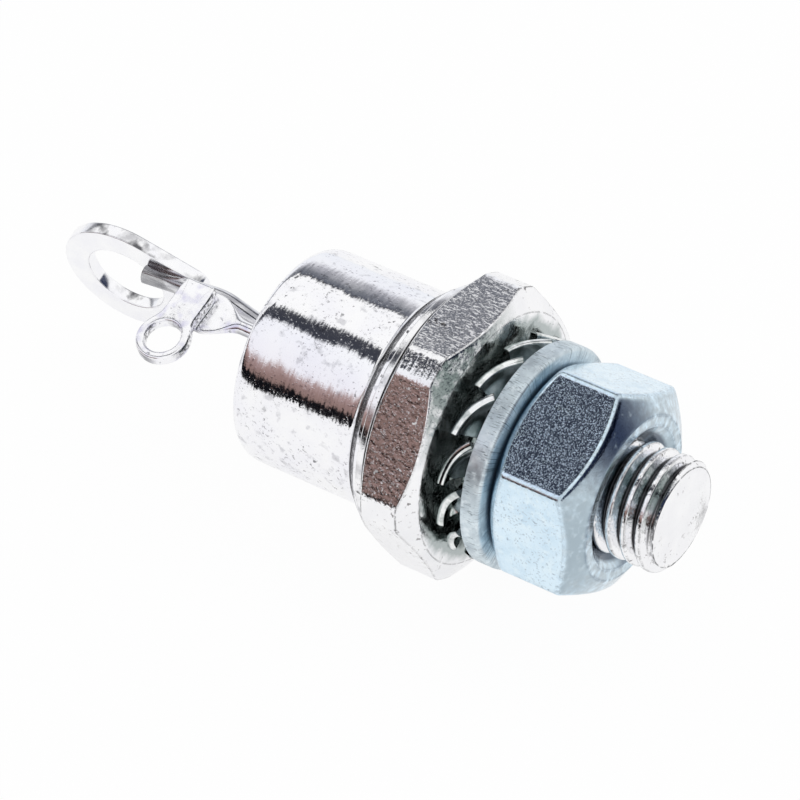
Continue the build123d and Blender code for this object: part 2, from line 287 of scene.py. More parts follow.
# node sockets: both colours and the result of a mix node
MIX_ONE = 6
MIX_TWO = 7
MIX_RESULT = 2
WHITE = (1, 1, 1, 1)

# directions of the sides that have a look of their own: scuffs on two flats, a dark end on the gate lug, and
# painted reflections and shade on the others
UPPER_FLAT = (0.0, 0.0, 1.0)
FRONT_FLAT = (0.0, -0.866, 0.5)
SEAT_CHAMFER = (0.866, -0.21, 0.453)
NUT_FLAT = (0.0, -0.47, 0.88)
NUT_CHAMFER_UPPER = (0.84, -0.12, 0.53)
NUT_CHAMFER_FRONT = (0.84, -0.54, 0.02)
ALONG_STUD = (1.0, 0.0, 0.0)
LUG_EDGE = (-0.1, -0.26, 0.96)
GATE_LUG_END = (0.97, 0.0, 0.25)
GATE_LUG_LOWER = (-0.3, -0.91, -0.29)

# distance from the device axis at which wrapped textures have their own scale
WRAP_R = 6
# textures: the noise from which specks are seen, the soft borders of marks, and how far most noise reaches
SPECKS_FROM = 0.74
SPECKS_SOFT = 0.05
PATCH_SOFT = 0.08
SHADE_BAND_SOFT = 0.08
RING_SOFT = 0.03
RING_FADE = 0.15
NOISE_MIDDLE = (0.35, 0.65)
NOISE_WIDE = (0.3, 0.7)
NOISE_WIDEST = (0.25, 0.75)
# cosines between which scuffs set in on a side, and how far above the least one a side's tint is full
SIDE_FACING = (0.9, 0.97)
FACING_SOFT = 0.2
# where brushing sets in and is full, from the distance beyond which it lies
BRUSH_BORDER = (-0.02, 0.04)

# finishes of hidden pieces: colour, roughness, metallic, and scale and strength of their grain
PLAIN_FINISHES = {
    "seal": ((0.03, 0.05, 0.05), 0.08, 0.0, 2.0, 0.1),
    "sleeve_alloy": ((0.72, 0.71, 0.69), 0.3, 1.0, 6.0, 0.3),
    "solder": ((0.6, 0.6, 0.58), 0.4, 1.0, 4.0, 0.3),
    "molybdenum": ((0.5, 0.5, 0.52), 0.35, 1.0, 6.0, 0.3),
    "silicon": ((0.2, 0.21, 0.25), 0.12, 1.0, 3.0, 0.05),
    "coating": ((0.84, 0.84, 0.82), 0.45, 0.0, 3.0, 0.2),
    "copper": ((0.8, 0.48, 0.34), 0.2, 1.0, 5.0, 0.2),
    "sleeving": ((0.88, 0.88, 0.86), 0.5, 0.0, 5.0, 0.2),
}


def add(tree, kind, inputs=None, **settings):
    """A shader node with its settings and inputs; an input that is a socket is linked."""
    node = tree.nodes.new(kind)
    for key, value in settings.items():
        setattr(node, key, value)
    for key, value in (inputs or {}).items():
        if isinstance(value, bpy.types.NodeSocket):
            tree.links.new(value, node.inputs[key])
        else:
            node.inputs[key].default_value = value
    return node


def math_node(tree, operation, a, b=0.0):
    """The result of an operation on one or two numbers or sockets."""
    return add(tree, "ShaderNodeMath", {0: a, 1: b}, operation=operation).outputs[0]


def span_node(tree, value, low, high, out_low=0.0, out_high=1.0):
    """A value's place between low and high, as a value between out_low and out_high."""
    return add(tree, "ShaderNodeMapRange", {
        "Value": value, "From Min": low, "From Max": high, "To Min": out_low, "To Max": out_high,
    }).outputs[0]


def mix_colours(tree, share, one, two):
    """One colour where the share is nothing, the other where it is one."""
    inputs = {0: share, MIX_ONE: one, MIX_TWO: two}
    return add(tree, "ShaderNodeMix", inputs, data_type="RGBA").outputs[MIX_RESULT]


def mix_shaders(tree, share, one, two):
    """One shader where the share is nothing, the other where it is one."""
    return add(tree, "ShaderNodeMixShader", {0: share, 1: one.outputs[0], 2: two.outputs[0]}).outputs[0]


def place_camera():
    """The photograph's view, from the angles that were fitted to it."""
    azimuth, elevation = math.radians(AZIMUTH_DEG), math.radians(ELEVATION_DEG)
    toward = Vector((
        math.sin(azimuth) * math.cos(elevation),
        -math.cos(azimuth) * math.cos(elevation),
        math.sin(elevation),
    ))
    level = Vector((math.cos(azimuth), math.sin(azimuth), 0))
    right = Matrix.Rotation(math.radians(ROLL_DEG), 3, toward) @ level
    up = toward.cross(right)
    data = bpy.data.cameras.new("photo_camera")
    data.lens = LENS
    data.sensor_width = SENSOR_W
    data.clip_start = CLIP_START * MM
    camera = bpy.data.objects.new("photo_camera", data)
    bpy.context.scene.collection.objects.link(camera)
    place = (AIM + toward * DISTANCE) * MM
    turn = Matrix((right, up, toward)).transposed().to_4x4()
    camera.matrix_world = Matrix.Translation(place) @ turn
    bpy.context.scene.camera = camera


def cards_ramp(tree, axes):
    """The cards' colours by a direction's angle round X."""
    angle = math_node(tree, "ARCTAN2", axes["Z"], axes["Y"])
    share = math_node(tree, "FRACT", math_node(tree, "DIVIDE", angle, 2 * math.pi))
    ramp = add(tree, "ShaderNodeValToRGB", {0: share})
    stops = ramp.color_ramp.elements
    while len(stops) > 1:
        stops.remove(stops[-1])
    for index, (degrees, colour) in enumerate(CARDS):
        stop = stops[0] if index == 0 else stops.new(degrees / 360)
        stop.position = degrees / 360
        stop.color = (*colour, 1)
    return ramp.outputs["Color"]


def build_world():
    """Cards that only the object mirrors, in front of white that the camera sees."""
    world = bpy.data.worlds.new("studio")
    bpy.context.scene.world = world
    world.use_nodes = True
    tree = world.node_tree
    tree.nodes.clear()
    direction = add(tree, "ShaderNodeTexCoord").outputs["Generated"]
    axes = add(tree, "ShaderNodeSeparateXYZ", {0: direction}).outputs
    past = span_node(tree, axes["X"], *CARDS_END)
    round_axis = mix_colours(tree, past, cards_ramp(tree, axes), WHITE)
    ahead = span_node(tree, axes["X"], *END_CARD_AHEAD)
    above = span_node(tree, axes["Z"], *END_CARD_UP)
    on_end_card = math_node(tree, "MULTIPLY", ahead, above)
    colour = mix_colours(tree, on_end_card, round_axis, (*END_CARD, 1))
    cards = add(tree, "ShaderNodeBackground", {"Color": colour, "Strength": 1.0})
    white = add(tree, "ShaderNodeBackground", {"Color": WHITE, "Strength": 1.0})
    paths = add(tree, "ShaderNodeLightPath").outputs
    add(tree, "ShaderNodeOutputWorld", {"Surface": mix_shaders(tree, paths["Is Camera Ray"], cards, white)})


def build_floor():
    """A white floor that glows to the camera and to mirrors, and is lit and shaded like any other."""
    mesh = bpy.data.meshes.new("floor")
    shape = bmesh.new()
    bmesh.ops.create_circle(shape, cap_ends=True, segments=FLOOR_STEPS, radius=FLOOR_R * MM)
    shape.to_mesh(mesh)
    shape.free()
    floor = bpy.data.objects.new("floor", mesh)
    floor.location = (0, 0, CAD_BOX[0][2])
    bpy.context.scene.collection.objects.link(floor)
    material = bpy.data.materials.new("floor_white")
    material.use_nodes = True
    tree = material.node_tree
    tree.nodes.clear()
    matte = add(tree, "ShaderNodeBsdfDiffuse", {"Color": (FLOOR_GREY, FLOOR_GREY, FLOOR_GREY, 1)})
    glow = add(tree, "ShaderNodeEmission", {"Color": WHITE, "Strength": 1.0})
    paths = add(tree, "ShaderNodeLightPath").outputs
    seen = math_node(tree, "MULTIPLY", paths["Is Camera Ray"], FLOOR_GLOW_SEEN)
    mirrored = math_node(tree, "MAXIMUM", paths["Is Glossy Ray"], paths["Is Transmission Ray"])
    share = math_node(tree, "MAXIMUM", seen, math_node(tree, "MULTIPLY", mirrored, FLOOR_GLOW_MIRRORED))
    add(tree, "ShaderNodeOutputMaterial", {"Surface": mix_shaders(tree, share, matte, glow)})
    mesh.materials.append(material)


def build_light():
    """A wide soft lamp above and a little behind, which no metal mirrors."""
    data = bpy.data.lights.new("soft_box", "AREA")
    data.shape = "DISK"
    data.size = LAMP_W * MM
    data.energy = LAMP_POWER
    lamp = bpy.data.objects.new("soft_box", data)
    lamp.location = LAMP_AT * MM
    lamp.rotation_euler = LAMP_AT.to_track_quat("Z", "Y").to_euler()
    lamp.visible_glossy = False
    bpy.context.scene.collection.objects.link(lamp)


class Finish:
    """Builds one finish step by step: base colour, roughness and surface, with texture sizes in mm."""

    def __init__(self, name, colour, rough, metallic=1.0):
        self.material = bpy.data.materials.new(name)
        self.material.use_nodes = True
        self.tree = self.material.node_tree
        self.shader = self.tree.nodes["Principled BSDF"]
        self.shader.inputs["Metallic"].default_value = metallic
        self.shader.inputs["Roughness"].default_value = rough
        self.shader.inputs["Base Color"].default_value = (*colour, 1)
        self.colour = (*colour, 1)
        self.normal = None
        self.rough = None
        where = self.node("TexCoord")["Object"]
        self.mm = self.vector("SCALE", {0: where, "Scale": 1 / MM})[0]

    def node(self, kind, inputs=None, **settings):
        return add(self.tree, "ShaderNode" + kind, inputs, **settings).outputs

    def vector(self, operation, inputs):
        return self.node("VectorMath", inputs, operation=operation)

    def times(self, a, b):
        return math_node(self.tree, "MULTIPLY", a, b)

    def span(self, *values):
        return span_node(self.tree, *values)

    def axes(self):
        return self.node("SeparateXYZ", {0: self.mm})

    def stretched(self, factors):
        """Coordinates times a factor along each axis: a texture is short where the factor is large."""
        return self.vector("MULTIPLY", {0: self.mm, 1: factors})[0]

    def wrapped(self, along, around):
        """Coordinates that follow the device axis: factors along it, and round it at WRAP_R."""
        axes = self.axes()
        turn = math_node(self.tree, "ARCTAN2", axes["Z"], axes["Y"])
        return self.node("CombineXYZ", {
            "X": self.times(axes["X"], along), "Y": self.times(turn, around * WRAP_R),
        })[0]

    def axis_distance(self):
        axes = self.axes()
        across = self.node("CombineXYZ", {"Y": axes["Y"], "Z": axes["Z"]})
        return self.vector("LENGTH", {0: across[0]})["Value"]

    def noise(self, scale, detail=3.0, vector=None, rough=0.5):
        return self.node("TexNoise", {
            "Vector": vector or self.mm, "Scale": scale, "Detail": detail, "Roughness": rough,
        })["Fac"]

    def within(self, value, low, high, soft):
        """One between two values, falling to nothing over a soft border outside them."""
        return self.times(self.span(value, low - soft, low), self.span(value, high, high + soft, 1.0, 0.0))

    def turned_to(self, direction, least, full):
        """One where the surface faces a direction, falling to nothing at the lower of two cosines."""
        true = self.node("NewGeometry")["Normal"]
        return self.span(self.vector("DOT_PRODUCT", {0: true, 1: direction})["Value"], least, full)

    def blend(self, mask, colour):
        """Mixes a colour over what the base colour holds so far."""
        self.colour = mix_colours(self.tree, mask, self.colour, (*colour, 1))
        return self

    def mottle(self, colour, scale, low=NOISE_MIDDLE[0], high=NOISE_MIDDLE[1], detail=5.0):
        """Clouds of a colour: rarer and sharper as low and high rise and come together."""
        return self.blend(self.span(self.noise(scale, detail), low, high), colour)

    def specks(self, colour, scale, cover, patch_scale, patch, detail, vector=None):
        """Small spots of a colour, gathered where a wider noise is above the patch value."""
        spots_from = SPECKS_FROM - cover
        fine = self.span(self.noise(scale, detail, vector, rough=0.6), spots_from, spots_from + SPECKS_SOFT)
        wide = self.span(self.noise(patch_scale, detail=2.0), patch - PATCH_SOFT, patch + PATCH_SOFT)
        return self.blend(self.times(fine, wide), colour)

    def shade_band(self, colour, x_span, r_span, soft, amount=1.0, uneven=0.0):
        """Painted shade on a stretch of the device axis and at some distances from it, with an uneven
        border.
        """
        along = self.axes()["X"]
        shift = self.span(self.noise(scale=0.9, detail=4.0), *NOISE_WIDE, -uneven, uneven)
        place = math_node(self.tree, "ADD", self.axis_distance(), shift)
        there = self.within(place, *r_span, soft)
        here = self.times(self.within(along, *x_span, SHADE_BAND_SOFT), there)
        return self.blend(self.times(here, amount), colour)

    def rings(self, colour, x_span, spacing=1.0, share=1.0):
        """Lines round the device axis on a stretch of it, each a share of the spacing wide."""
        along = self.axes()["X"]
        phase = math_node(self.tree, "FRACT", math_node(self.tree, "DIVIDE", along, spacing))
        line = self.span(phase, share, share - RING_FADE)
        return self.blend(self.times(line, self.within(along, *x_span, RING_SOFT)), colour)

    def edge_shade(self, colour, reach, scale, low, high, turn_from=0.998, turn_to=0.95):
        """Painted shade: a broken line of a colour where the surface turns within reach, along arrises and
        in creases.
        """
        eased = self.node("Bevel", {"Radius": reach * MM}, samples=6)[0]
        true = self.node("NewGeometry")["Normal"]
        turn = self.vector("DOT_PRODUCT", {0: eased, 1: true})["Value"]
        broken = self.span(self.noise(scale, detail=4.0), low, high)
        return self.blend(self.times(self.span(turn, turn_from, turn_to), broken), colour)

    def facing(self, colour, direction, scale, low, high, least=0.5):
        """Blotches of a colour on the surfaces that face a direction."""
        there = self.turned_to(direction, least, min(least + FACING_SOFT, 1.0))
        return self.blend(self.times(there, self.span(self.noise(scale, detail=5.0), low, high)), colour)

    def corner_shade(self, colour, reach, low, high):
        """Painted shade: a colour in the corners that lie within reach of other surfaces."""
        near = self.node("AmbientOcclusion", {"Distance": reach * MM}, samples=8)["AO"]
        return self.blend(self.span(near, low, high, 1.0, 0.0), colour)

    def drift(self, rough_low, rough_high):
        """Roughness that wanders between two values."""
        self.rough = self.span(self.noise(scale=1.5, detail=5.0), *NOISE_MIDDLE, rough_low, rough_high)
        return self

    def scuffed(self, direction, vector, scale, low, high, rough=0.6):
        """Small dull marks on one side, light where the polish around them mirrors something dark."""
        marks = self.span(self.noise(scale, vector=vector), low, high, 0.0, rough)
        there = self.times(marks, self.turned_to(direction, *SIDE_FACING))
        self.rough = math_node(self.tree, "MAXIMUM", self.rough, there)
        return self

    def bump(self, height, strength, depth=0.02):
        inputs = {"Height": height, "Strength": strength, "Distance": depth * MM}
        if self.normal is not None:
            inputs["Normal"] = self.normal
        self.normal = self.node("Bump", inputs)[0]
        return self

    def grain(self, scale, strength, detail=3.0, vector=None):
        return self.bump(self.noise(scale, detail, vector), strength)

    def grit(self, scale, strength, low=0.55, high=0.7):
        """Small raised spots where a noise is high."""
        return self.bump(self.span(self.noise(scale, detail=2.0), low, high), strength)

    def brushed(self, vector, scale, amount, beyond=0.0):
        """Tips the surface a little round the device axis by a noise, beyond a distance from that axis."""
        normal = self.normal or self.node("NewGeometry")["Normal"]
        side = self.vector("CROSS_PRODUCT", {0: (1, 0, 0), 1: normal})[0]
        tip = self.span(self.noise(scale, vector=vector), *NOISE_WIDEST, -amount, amount)
        if beyond:
            border = [beyond + step for step in BRUSH_BORDER]
            tip = self.times(tip, self.span(self.axis_distance(), *border))
        push = self.vector("SCALE", {0: side, "Scale": tip})[0]
        moved = self.vector("ADD", {0: normal, 1: push})[0]
        self.normal = self.vector("NORMALIZE", {0: moved})[0]
        return self

    def done(self):
        made = {"Base Color": self.colour, "Normal": self.normal, "Roughness": self.rough}
        for key, value in made.items():
            if isinstance(value, bpy.types.NodeSocket):
                self.tree.links.new(value, self.shader.inputs[key])
        return self.material


def base_nickel():
    """Bright plating, with greenish and dark shade painted on the seat, a black thread root painted as
    shade, a dark reflection painted on the seat chamfer, and scuffs on two flats.
    """
    made = Finish("nickel", (0.95, 0.95, 0.96), rough=0.1)
    made.mottle((0.9, 0.9, 0.92), scale=0.6)
    made.specks((0.2, 0.19, 0.19), scale=3.0, cover=0.14, patch_scale=0.4, patch=0.53, detail=8.0)
    # painted shade on the seat under the lock washer's teeth: greenish grey outside, nearly black nearer the
    # stud
    made.shade_band((0.4, 0.45, 0.445), (-0.3, 0.1), (2.0, 6.55), soft=0.5, amount=0.9, uneven=0.3)
    made.shade_band((0.12, 0.15, 0.145), (-0.12, 0.1), (2.0, 5.6), soft=0.6, amount=0.85, uneven=0.9)
    # painted shade: the thread's roots drawn black
    made.shade_band((0.05, 0.05, 0.055), (1.5, 11.1), (0.0, 2.71), soft=0.1)
    # painted dark reflection on the side of the seat chamfer that faces up and front
    made.facing((0.22, 0.27, 0.26), SEAT_CHAMFER, scale=1.5, low=0.28, high=0.52, least=0.93)
    made.edge_shade((0.06, 0.06, 0.065), 0.12, scale=2.8, low=0.38, high=0.5, turn_from=0.9995, turn_to=0.985)
    made.grain(scale=3.2, strength=1.0, detail=6.0)
    made.grit(scale=8.0, strength=0.25, low=0.56, high=0.7)
    made.brushed(made.wrapped(1.0, 0.12), scale=7.0, amount=0.09, beyond=8.16)
    made.drift(0.05, 0.12)
    made.scuffed(UPPER_FLAT, made.stretched((1.0, 3.6, 3.6)), scale=2.0, low=0.575, high=0.605)
    made.scuffed(UPPER_FLAT, made.stretched((0.5, 1.2, 1.2)), scale=5.0, low=0.59, high=0.65, rough=0.5)
    made.scuffed(FRONT_FLAT, made.mm, scale=3.0, low=0.67, high=0.71)
    return made.done()


def can_nickel():
    """Brighter plating, drawn along and polished round, with grey and dark spots, and dark lines painted as
    shade at its foot.
    """
    made = Finish("can_nickel", (0.97, 0.97, 0.98), rough=0.08)
    made.mottle((0.92, 0.92, 0.96), scale=0.5)
    made.mottle((0.7, 0.7, 0.73), scale=1.7, low=0.58, high=0.68, detail=10.0)
    made.specks((0.14, 0.14, 0.15), scale=2.8, cover=0.138, patch_scale=0.35, patch=0.53, detail=9.0)
    made.specks((0.5, 0.49, 0.52), scale=5.0, cover=0.15, patch_scale=0.5, patch=0.5, detail=8.0)
    # painted shade: dark lines in the grooves between the foot's ridges
    made.rings((0.05, 0.05, 0.055), x_span=(-5.0, -4.3), spacing=0.13, share=0.4)
    made.edge_shade((0.08, 0.08, 0.085), reach=0.05, scale=3.0, low=0.3, high=0.5)
    made.grit(scale=7.0, strength=0.12, low=0.6, high=0.72)
    made.grain(scale=10.0, strength=0.05)
    made.brushed(made.wrapped(1.0, 0.12), scale=7.0, amount=0.03)
    made.brushed(made.wrapped(0.35, 0.5), scale=1.2, amount=0.03)
    return made.drift(0.05, 0.11).done()


def ring_nickel():
    """The weld ring's plating, turned, with a dark line where it meets the base and the can."""
    made = Finish("ring_nickel", (0.94, 0.94, 0.95), rough=0.1)
    made.specks((0.14, 0.14, 0.14), scale=3.5, cover=0.15, patch_scale=0.6, patch=0.5, detail=8.0)
    made.edge_shade((0.06, 0.06, 0.065), reach=0.05, scale=3.0, low=0.25, high=0.4)
    made.rings((0.04, 0.04, 0.045), x_span=(-3.5, -3.38))
    made.rings((0.08, 0.08, 0.085), x_span=(-4.0, -3.94))
    made.mottle((0.62, 0.62, 0.64), scale=1.0, low=0.45, high=0.65)
    made.grain(scale=9.0, strength=0.4, vector=made.wrapped(2.5, 0.05))
    made.grit(scale=9.0, strength=0.12)
    return made.drift(0.07, 0.15).done()


def tinned_copper():
    """The cathode lug's tin, with grey and dark reflections painted on its upper edge."""
    made = Finish("tinned_copper", (0.98, 0.98, 0.985), rough=0.16)
    made.mottle((0.93, 0.93, 0.96), scale=0.8)
    made.edge_shade((0.13, 0.13, 0.14), reach=0.07, scale=2.0, low=0.36, high=0.54)
    # painted reflections: grey and dark patches on the side that faces up
    made.facing((0.6, 0.6, 0.62), LUG_EDGE, scale=0.9, low=0.52, high=0.65)
    made.facing((0.13, 0.13, 0.14), LUG_EDGE, scale=0.6, low=0.57, high=0.66)
    made.grain(scale=4.0, strength=0.1)
    return made.drift(0.1, 0.2).done()


def shaded_lead_tin():
    """The cathode lead's tin, painted greyer than the lug's as shade, and streaked along the lead."""
    # painted shade: a darker copy of the lug's tin
    made = Finish("shaded_lead_tin", (0.78, 0.78, 0.8), rough=0.12)
    streaks = made.stretched((0.25, 2.4, 2.4))
    grey = made.span(made.noise(scale=1.3, detail=4.0, vector=streaks), 0.42, 0.6)
    made.blend(grey, (0.42, 0.42, 0.45))
    made.grain(scale=3.0, strength=0.2, vector=streaks)
    return made.drift(0.08, 0.2).done()


def gate_plate():
    """Plating of the gate's pin and lug, bluish in patches, dark on the end, with shade painted on the lower
    side.
    """
    made = Finish("gate_plate", (0.96, 0.96, 0.98), rough=0.2)
    made.mottle((0.72, 0.71, 0.85), scale=1.3, low=0.5, high=0.68)
    made.specks((0.3, 0.3, 0.34), scale=3.0, cover=0.13, patch_scale=0.7, patch=0.5, detail=8.0)
    made.facing((0.2, 0.2, 0.21), GATE_LUG_END, scale=6.0, low=0.42, high=0.6, least=0.75)
    # painted shade on the lower side of the pin and lug
    made.facing((0.3, 0.3, 0.32), GATE_LUG_LOWER, scale=2.0, low=0.3, high=0.5, least=0.78)
    made.edge_shade((0.12, 0.12, 0.13), reach=0.07, scale=1.5, low=0.3, high=0.5)
    made.grain(scale=5.0, strength=0.15)
    made.grit(scale=9.0, strength=0.08)
    return made.drift(0.12, 0.25).done()


def tooth_steel():
    """The lock washer's steel, with shade painted on its ring and in its edges."""
    made = Finish("tooth_steel", (0.9, 0.92, 0.91), rough=0.1)
    made.mottle((0.5, 0.54, 0.53), scale=1.4, low=0.45, high=0.6)
    made.edge_shade((0.05, 0.06, 0.06), reach=0.08, scale=2.5, low=0.3, high=0.45)
    # painted shade on the ring between the seat and the flat washer, and on the teeth's roots
    made.shade_band((0.3, 0.35, 0.34), x_span=(0.2, 2.0), r_span=(2.0, 4.8), soft=0.35, amount=0.8, uneven=0.3)
    made.grain(scale=6.0, strength=0.25)
    return made.drift(0.06, 0.15).done()


def nut_zinc():
    """The nut's pale blue zinc, mottled and gritty, with reflections painted as tints on its end, chamfers
    and one darker flat, and shade painted in its sink.
    """
    made = Finish("zinc", (0.74, 0.89, 0.99), rough=0.12)
    made.mottle((0.6, 0.77, 0.9), scale=0.8, low=0.42, high=0.75)
    made.mottle((0.78, 0.91, 0.98), scale=2.2, low=0.48, high=0.7, detail=8.0)
    made.specks((0.42, 0.5, 0.58), scale=3.5, cover=0.125, patch_scale=0.5, patch=0.52, detail=8.0)
    made.specks((0.55, 0.66, 0.74), scale=6.0, cover=0.17, patch_scale=0.6, patch=0.44, detail=6.0)
    # painted reflections: tints on the end face, on one flat, and on the chamfer sides that face up and
    # front
    made.facing((0.48, 0.56, 0.61), ALONG_STUD, scale=2.2, low=0.3, high=0.62, least=0.6)
    made.facing((0.67, 0.8, 0.96), NUT_FLAT, scale=0.8, low=0.2, high=0.4, least=0.97)
    made.facing((0.03, 0.045, 0.09), NUT_CHAMFER_UPPER, scale=1.2, low=0.1, high=0.35, least=0.93)
    made.facing((0.4, 0.49, 0.55), NUT_CHAMFER_FRONT, scale=2.5, low=0.2, high=0.5, least=0.88)
    # painted shade in the sink round the stud
    made.shade_band((0.12, 0.15, 0.19), x_span=(6.0, 8.4), r_span=(2.0, 3.5), soft=0.2)
    made.edge_shade((0.2, 0.26, 0.33), 0.3, scale=2.2, low=0.36, high=0.54, turn_from=0.9995, turn_to=0.985)
    made.grit(scale=13.0, strength=0.18, low=0.54, high=0.72)
    made.grain(scale=5.0, strength=0.08)
    return made.drift(0.07, 0.15).done()


def washer_zinc():
    """The flat washer's zinc, dull, streaked across its rim, with the nut's shadow painted dark beside the
    nut.
    """
    made = Finish("zinc_washer", (0.68, 0.77, 0.82), rough=0.45)
    made.mottle((0.48, 0.55, 0.6), scale=1.2, low=0.42, high=0.7)
    made.mottle((0.8, 0.88, 0.92), scale=3.0, low=0.52, high=0.68, detail=8.0)
    streaks = made.wrapped(0.7, 5.0)
    made.specks((0.24, 0.29, 0.32), 3.0, cover=0.19, patch_scale=0.8, patch=0.46, detail=6.0, vector=streaks)
    # painted shadow of the nut on the washer's face beside it, darkest in the gap
    made.corner_shade((0.13, 0.17, 0.22), reach=0.32, low=0.2, high=0.7)
    made.edge_shade((0.25, 0.29, 0.32), reach=0.08, scale=3.0, low=0.35, high=0.55)
    made.grain(scale=9.0, strength=0.2)
    made.brushed(made.wrapped(0.25, 3.0), scale=9.0, amount=0.05)
    return made.drift(0.34, 0.52).done()


def plain_finish(name):
    """A finish of one colour with a fine grain."""
    colour, rough, metallic, scale, strength = PLAIN_FINISHES[name]
    return Finish(name, colour, rough, metallic).grain(scale, strength).done()


FINISH = {
    "nickel": base_nickel(),
    "can_nickel": can_nickel(),
    "ring_nickel": ring_nickel(),
    "tinned_copper": tinned_copper(),
    "shaded_lead_tin": shaded_lead_tin(),
    "gate_plate": gate_plate(),
    "tooth_steel": tooth_steel(),
    "zinc": nut_zinc(),
    "zinc_washer": washer_zinc(),
    **{name: plain_finish(name) for name in PLAIN_FINISHES},
}


def dress_frame():
    """Each CAD node takes the finish of its own slot in the record."""
    for part in frame["record"]["subparts"]:
        node = frame["nodes"][part["node"]]
        node.data.materials.clear()
        node.data.materials.append(FINISH[part["material_slot"]])


def new_piece(name, shape, slot, *replaced, finish=None):
    """A mesh object from a bmesh, smooth but for its sharp edges, riding on the part's one body."""
    mesh = bpy.data.meshes.new(name)
    bmesh.ops.recalc_face_normals(shape, faces=shape.faces)
    shape.to_mesh(mesh)
    shape.free()
    mesh.materials.append(FINISH[finish or slot])
    mesh.shade_smooth()
    mesh.set_sharp_from_angle(angle=math.radians(SHARP_DEG))
    piece = bpy.data.objects.new(name, mesh)
    bpy.context.scene.collection.objects.link(piece)
    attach(piece, "root")
    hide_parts(*replaced)


def weld(shape):
    """Joins the points of a shape that lie in one place."""
    bmesh.ops.remove_doubles(shape, verts=shape.verts, dist=WELD * MM)


def join(shape, other):
    """Adds another bmesh to a shape and frees it."""
    held = bpy.data.meshes.new("held")
    other.to_mesh(held)
    other.free()
    shape.from_mesh(held)
    bpy.data.meshes.remove(held)


def smooth_min(a, b, width):
    """The lower of two values, blended where they are closer than a width."""
    overlap = max(width - abs(a - b), 0) / width
    return min(a, b) - overlap * overlap * width / 4


def smooth_step(share):
    """A share from nothing to one that leaves and arrives gently."""
    return share * share * (3 - 2 * share)


def curve(start, bend, end, count):
    """Points from start to end on the curve that heads for bend."""
    steps = [k / count for k in range(count + 1)]
    return [start * (1 - t) ** 2 + bend * (2 * t * (1 - t)) + end * t ** 2 for t in steps]


def rounded(points, cuts=5):
    """A closed outline of (u, v, radius) corners as (u, v) points with its corners rounded."""
    outline = []
    for i, (u, v, radius) in enumerate(points):
        corner = Vector((u, v))
        if not radius:
            outline.append(corner)
            continue
        before = Vector(points[i - 1][:2]) - corner
        after = Vector(points[(i + 1) % len(points)][:2]) - corner
        reach = radius / math.tan(before.angle(after) / 2)
        first = corner + before.normalized() * reach
        last = corner + after.normalized() * reach
        outline += curve(first, corner, last, cuts)
    return outline


def divided(outline, longest, closed=True, beyond=0.0):
    """The same outline in short stretches; a level or inner one is only divided next to its ends."""
    ends = outline[1:] + (outline[:1] if closed else [])
    fine = []
    for one, two in zip(outline, ends):
        count = max(1, math.ceil((two - one).length / longest))
        steps = range(count)
        if abs(two.y - one.y) < LEVEL or max(one.y, two.y) < beyond:
            steps = sorted({0, min(1, count - 1), count - 1})
        fine += [one.lerp(two, k / count) for k in steps]
    return fine if closed else fine + [outline[-1]]


def skin(rows, wrap):
    """A bmesh through rows of points, closed round each row and, if wrap, from last to first."""
    shape = bmesh.new()
    made = [[shape.verts.new(point * MM) for point in row] for row in rows]
    for one, two in zip(made, made[1:] + (made[:1] if wrap else [])):
        for k in range(len(one)):
            m = (k + 1) % len(one)
            shape.faces.new((one[k], one[m], two[m], two[k]))
    return shape


def turned(outline, steps=ROUND_STEPS, clip=None, wrap=True):
    """An (x, r) outline turned round the device axis, its radius clipped by clip(angle)."""
    angles = [2 * math.pi * k / steps for k in range(steps)]
    limits = [clip(a) if clip else None for a in angles]
    rows = []
    for x, r in outline:
        row = []
        for angle, limit in zip(angles, limits):
            radius = r if limit is None else smooth_min(r, *limit)
            row.append(Vector((x, radius * math.cos(angle), radius * math.sin(angle))))
        rows.append(row)
    return skin(rows, wrap)


def hexagon(across_flats, corner_deg, soft, arris):
    """A clip for turned(): a hexagon's radius with softened corners, and the softness of its arrises."""
    def clip(angle):
        reach = []
        for side in range(6):
            turn = angle - math.radians(corner_deg + 30 + 60 * side)
            if math.cos(turn) > 0:
                reach.append(across_flats / 2 / math.cos(turn))
        reach.sort()
        return smooth_min(reach[0], reach[1], soft), arris
    return clip


def cap(shape, x):
    """Closes the open rim of a shape that lies at x."""
    rim = [
        e for e in shape.edges
        if e.is_boundary and all(abs(v.co.x - x * MM) < WELD * MM for v in e.verts)
    ]
    bmesh.ops.contextual_create(shape, geom=rim)


def thread_shape(start, end, limit):
    """A right-hand thread round X from start to end, no wider than limit(x), closed at its end."""
    mirrored = [(1 - u, height) for u, height in reversed(THREAD_HALF[1:-1])]
    profile = [(u * PITCH, CREST_R - THREAD_DEPTH * (1 - height)) for u, height in (*THREAD_HALF, *mirrored)]
    shape = bmesh.new()
    first = math.floor((start - THREAD_PHASE) / PITCH) - 2
    last = math.ceil((end - THREAD_PHASE) / PITCH) + 1
    rings = []
    for turn in range(first, last):
        for along, radius in profile:
            ring = []
            for step in range(THREAD_STEPS + 1):
                share = step / THREAD_STEPS
                x = THREAD_PHASE + (turn + share) * PITCH + along
                r = min(radius, limit(x))
                spin = share * 2 * math.pi
                ring.append(shape.verts.new((x * MM, r * MM * math.cos(spin), r * MM * math.sin(spin))))
            rings.append(ring)
    for lower, upper in zip(rings, rings[1:]):
        for step in range(THREAD_STEPS):
            shape.faces.new((lower[step], lower[step + 1], upper[step + 1], upper[step]))
    weld(shape)
    for x, side in ((start, -1), (end, 1)):
        geom = shape.verts[:] + shape.edges[:] + shape.faces[:]
        bmesh.ops.bisect_plane(
            shape, geom=geom, plane_co=(x * MM, 0, 0), plane_no=(side, 0, 0), clear_outer=True,
        )
    cap(shape, end)
    return shape


